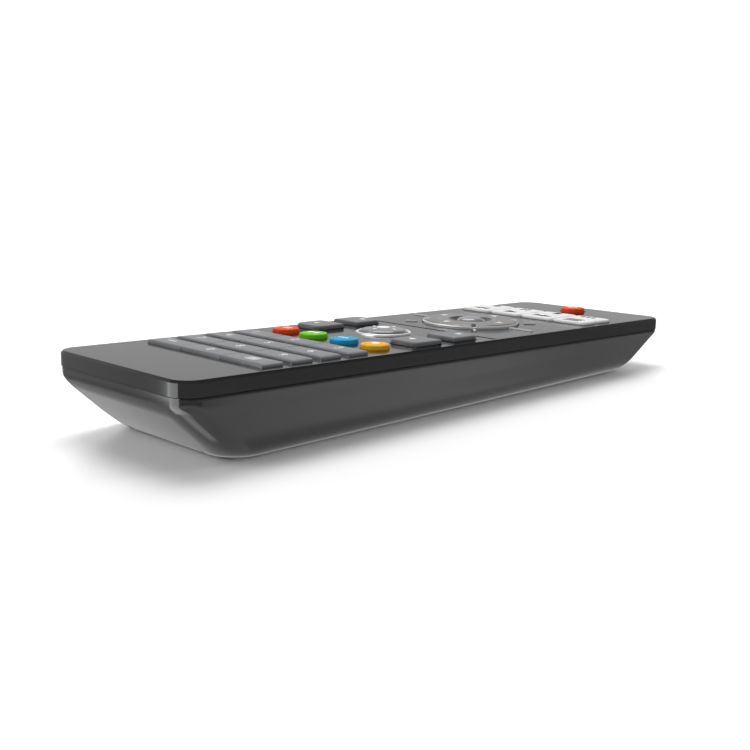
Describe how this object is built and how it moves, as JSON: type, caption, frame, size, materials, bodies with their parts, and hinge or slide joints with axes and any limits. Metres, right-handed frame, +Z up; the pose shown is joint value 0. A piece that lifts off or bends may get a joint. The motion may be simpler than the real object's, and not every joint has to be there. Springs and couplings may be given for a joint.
{
  "type": "television remote control",
  "caption": "Slim television remote: gloss dark top on a boat-shaped battery case, rubber-backed number keys, coloured keys, rocking steering disc, white keys and a red power key.",
  "frame": {"origin": "on the table under the middle of the top face", "axes": "+Z up, +Y along the body towards the infrared end, +X to the user's right"},
  "size_m": [0.05, 0.1661, 0.0191],
  "materials": {
    "panel": "polished dark grey",
    "shell": "satin dark grey",
    "door": "satin dark grey",
    "ring": "bright plated",
    "window": "polished very dark red, passes infrared",
    "clear": "clear moulded resin",
    "grey_key": "satin mid grey",
    "arrow_key": "satin mid grey",
    "disc": "satin warm grey",
    "centre": "satin blue grey",
    "red": "satin",
    "green": "satin",
    "blue": "satin",
    "yellow": "satin",
    "white_key": "satin white",
    "mat": "matt moulded",
    "board": "green laminate",
    "chip": "matt black",
    "resonator": "dipped orange",
    "capacitor": "plain can",
    "cell": "plain dark wrapper",
    "steel": "plated"
  },
  "bodies": {
    "case": {"upper_case": "panel", "lower_case": "shell", "pad_ring": "ring", "ir_window": "window", "ir_led": "clear", "keypad_mat": "mat", "circuit_board": "board", "controller_chip": "chip", "ceramic_resonator": "resonator", "storage_capacitor": "capacitor", "battery_a": "cell", "battery_b": "cell", "spring_a": "steel", "spring_b": "steel", "contact_link": "steel", "contact_positive": "steel", "contact_negative": "steel", "case_screws": "steel"},
    "door": {"battery_door": "door"},
    "key_left_of_zero": {"key_left_of_zero": "grey_key"},
    "key_digit_0": {"key_digit_0": "grey_key"},
    "key_right_of_zero": {"key_right_of_zero": "grey_key"},
    "key_digit_7": {"key_digit_7": "grey_key"},
    "key_digit_8": {"key_digit_8": "grey_key"},
    "key_digit_9": {"key_digit_9": "grey_key"},
    "key_digit_4": {"key_digit_4": "grey_key"},
    "key_digit_5": {"key_digit_5": "grey_key"},
    "key_digit_6": {"key_digit_6": "grey_key"},
    "key_digit_1": {"key_digit_1": "grey_key"},
    "key_digit_2": {"key_digit_2": "grey_key"},
    "key_digit_3": {"key_digit_3": "grey_key"},
    "key_red": {"key_red": "red"},
    "key_green": {"key_green": "green"},
    "key_blue": {"key_blue": "blue"},
    "key_yellow": {"key_yellow": "yellow"},
    "arrow_left_near": {"arrow_left_near": "arrow_key"},
    "arrow_left_far": {"arrow_left_far": "arrow_key"},
    "arrow_right_near": {"arrow_right_near": "arrow_key"},
    "arrow_right_far": {"arrow_right_far": "arrow_key"},
    "round_key": {"round_key": "grey_key"},
    "centre_key": {"centre_key": "centre"},
    "white_key_1": {"white_key_1": "white_key"},
    "white_key_2": {"white_key_2": "white_key"},
    "white_key_3": {"white_key_3": "white_key"},
    "white_key_4": {"white_key_4": "white_key"},
    "white_key_5": {"white_key_5": "white_key"},
    "white_key_6": {"white_key_6": "white_key"},
    "white_key_7": {"white_key_7": "white_key"},
    "white_key_8": {"white_key_8": "white_key"},
    "power_key": {"power_key": "red"},
    "disc": {"steering_disc": "disc"}
  },
  "joints": [
    {"name": "door_slide", "type": "slide", "parent": "case", "child": "door", "axis": [0, -1, 0], "range_m": [0, 0.06]},
    {"name": "key_left_of_zero_press", "type": "slide", "parent": "case", "child": "key_left_of_zero", "axis": [0, -0.0287, -0.9996], "range_m": [0, 0.0005], "stiffness_N_per_m": 2500},
    {"name": "key_digit_0_press", "type": "slide", "parent": "case", "child": "key_digit_0", "axis": [0, -0.0287, -0.9996], "range_m": [0, 0.0005], "stiffness_N_per_m": 2500},
    {"name": "key_right_of_zero_press", "type": "slide", "parent": "case", "child": "key_right_of_zero", "axis": [0, -0.0287, -0.9996], "range_m": [0, 0.0005], "stiffness_N_per_m": 2500},
    {"name": "key_digit_7_press", "type": "slide", "parent": "case", "child": "key_digit_7", "axis": [0, -0.0287, -0.9996], "range_m": [0, 0.0005], "stiffness_N_per_m": 2500},
    {"name": "key_digit_8_press", "type": "slide", "parent": "case", "child": "key_digit_8", "axis": [0, -0.0287, -0.9996], "range_m": [0, 0.0005], "stiffness_N_per_m": 2500},
    {"name": "key_digit_9_press", "type": "slide", "parent": "case", "child": "key_digit_9", "axis": [0, -0.0287, -0.9996], "range_m": [0, 0.0005], "stiffness_N_per_m": 2500},
    {"name": "key_digit_4_press", "type": "slide", "parent": "case", "child": "key_digit_4", "axis": [0, -0.0287, -0.9996], "range_m": [0, 0.0005], "stiffness_N_per_m": 2500},
    {"name": "key_digit_5_press", "type": "slide", "parent": "case", "child": "key_digit_5", "axis": [0, -0.0287, -0.9996], "range_m": [0, 0.0005], "stiffness_N_per_m": 2500},
    {"name": "key_digit_6_press", "type": "slide", "parent": "case", "child": "key_digit_6", "axis": [0, -0.0287, -0.9996], "range_m": [0, 0.0005], "stiffness_N_per_m": 2500},
    {"name": "key_digit_1_press", "type": "slide", "parent": "case", "child": "key_digit_1", "axis": [0, -0.0287, -0.9996], "range_m": [0, 0.0005], "stiffness_N_per_m": 2500},
    {"name": "key_digit_2_press", "type": "slide", "parent": "case", "child": "key_digit_2", "axis": [0, -0.0287, -0.9996], "range_m": [0, 0.0005], "stiffness_N_per_m": 2500},
    {"name": "key_digit_3_press", "type": "slide", "parent": "case", "child": "key_digit_3", "axis": [0, -0.0287, -0.9996], "range_m": [0, 0.0005], "stiffness_N_per_m": 2500},
    {"name": "key_red_press", "type": "slide", "parent": "case", "child": "key_red", "axis": [0, -0.0287, -0.9996], "range_m": [0, 0.0005], "stiffness_N_per_m": 2500},
    {"name": "key_green_press", "type": "slide", "parent": "case", "child": "key_green", "axis": [0, -0.0287, -0.9996], "range_m": [0, 0.0005], "stiffness_N_per_m": 2500},
    {"name": "key_blue_press", "type": "slide", "parent": "case", "child": "key_blue", "axis": [0, -0.0287, -0.9996], "range_m": [0, 0.0005], "stiffness_N_per_m": 2500},
    {"name": "key_yellow_press", "type": "slide", "parent": "case", "child": "key_yellow", "axis": [0, -0.0287, -0.9996], "range_m": [0, 0.0005], "stiffness_N_per_m": 2500},
    {"name": "arrow_left_near_press", "type": "slide", "parent": "case", "child": "arrow_left_near", "axis": [0, -0.0287, -0.9996], "range_m": [0, 0.0005], "stiffness_N_per_m": 2500},
    {"name": "arrow_left_far_press", "type": "slide", "parent": "case", "child": "arrow_left_far", "axis": [0, -0.0287, -0.9996], "range_m": [0, 0.0005], "stiffness_N_per_m": 2500},
    {"name": "arrow_right_near_press", "type": "slide", "parent": "case", "child": "arrow_right_near", "axis": [0, -0.0287, -0.9996], "range_m": [0, 0.0005], "stiffness_N_per_m": 2500},
    {"name": "arrow_right_far_press", "type": "slide", "parent": "case", "child": "arrow_right_far", "axis": [0, -0.0287, -0.9996], "range_m": [0, 0.0005], "stiffness_N_per_m": 2500},
    {"name": "round_key_press", "type": "slide", "parent": "case", "child": "round_key", "axis": [0, -0.0287, -0.9996], "range_m": [0, 0.0005], "stiffness_N_per_m": 2500},
    {"name": "centre_key_press", "type": "slide", "parent": "case", "child": "centre_key", "axis": [0, -0.0287, -0.9996], "range_m": [0, 0.0004], "stiffness_N_per_m": 2500},
    {"name": "white_key_1_press", "type": "slide", "parent": "case", "child": "white_key_1", "axis": [0, -0.0287, -0.9996], "range_m": [0, 0.0005], "stiffness_N_per_m": 2500},
    {"name": "white_key_2_press", "type": "slide", "parent": "case", "child": "white_key_2", "axis": [0, -0.0287, -0.9996], "range_m": [0, 0.0005], "stiffness_N_per_m": 2500},
    {"name": "white_key_3_press", "type": "slide", "parent": "case", "child": "white_key_3", "axis": [0, -0.0287, -0.9996], "range_m": [0, 0.0005], "stiffness_N_per_m": 2500},
    {"name": "white_key_4_press", "type": "slide", "parent": "case", "child": "white_key_4", "axis": [0, -0.0287, -0.9996], "range_m": [0, 0.0005], "stiffness_N_per_m": 2500},
    {"name": "white_key_5_press", "type": "slide", "parent": "case", "child": "white_key_5", "axis": [0, -0.0287, -0.9996], "range_m": [0, 0.0005], "stiffness_N_per_m": 2500},
    {"name": "white_key_6_press", "type": "slide", "parent": "case", "child": "white_key_6", "axis": [0, -0.0287, -0.9996], "range_m": [0, 0.0005], "stiffness_N_per_m": 2500},
    {"name": "white_key_7_press", "type": "slide", "parent": "case", "child": "white_key_7", "axis": [0, -0.0287, -0.9996], "range_m": [0, 0.0005], "stiffness_N_per_m": 2500},
    {"name": "white_key_8_press", "type": "slide", "parent": "case", "child": "white_key_8", "axis": [0, -0.0287, -0.9996], "range_m": [0, 0.0005], "stiffness_N_per_m": 2500},
    {"name": "power_key_press", "type": "slide", "parent": "case", "child": "power_key", "axis": [0, -0.0287, -0.9996], "range_m": [0, 0.0005], "stiffness_N_per_m": 2500},
    {"name": "disc_rock", "type": "hinge", "parent": "case", "child": "disc", "pos_m": [0, 0.02623, 0.01375], "axis": [1, 0, 0], "range_deg": [-1.6, 1.6], "stiffness_Nm_per_rad": 0.8}
  ]
}
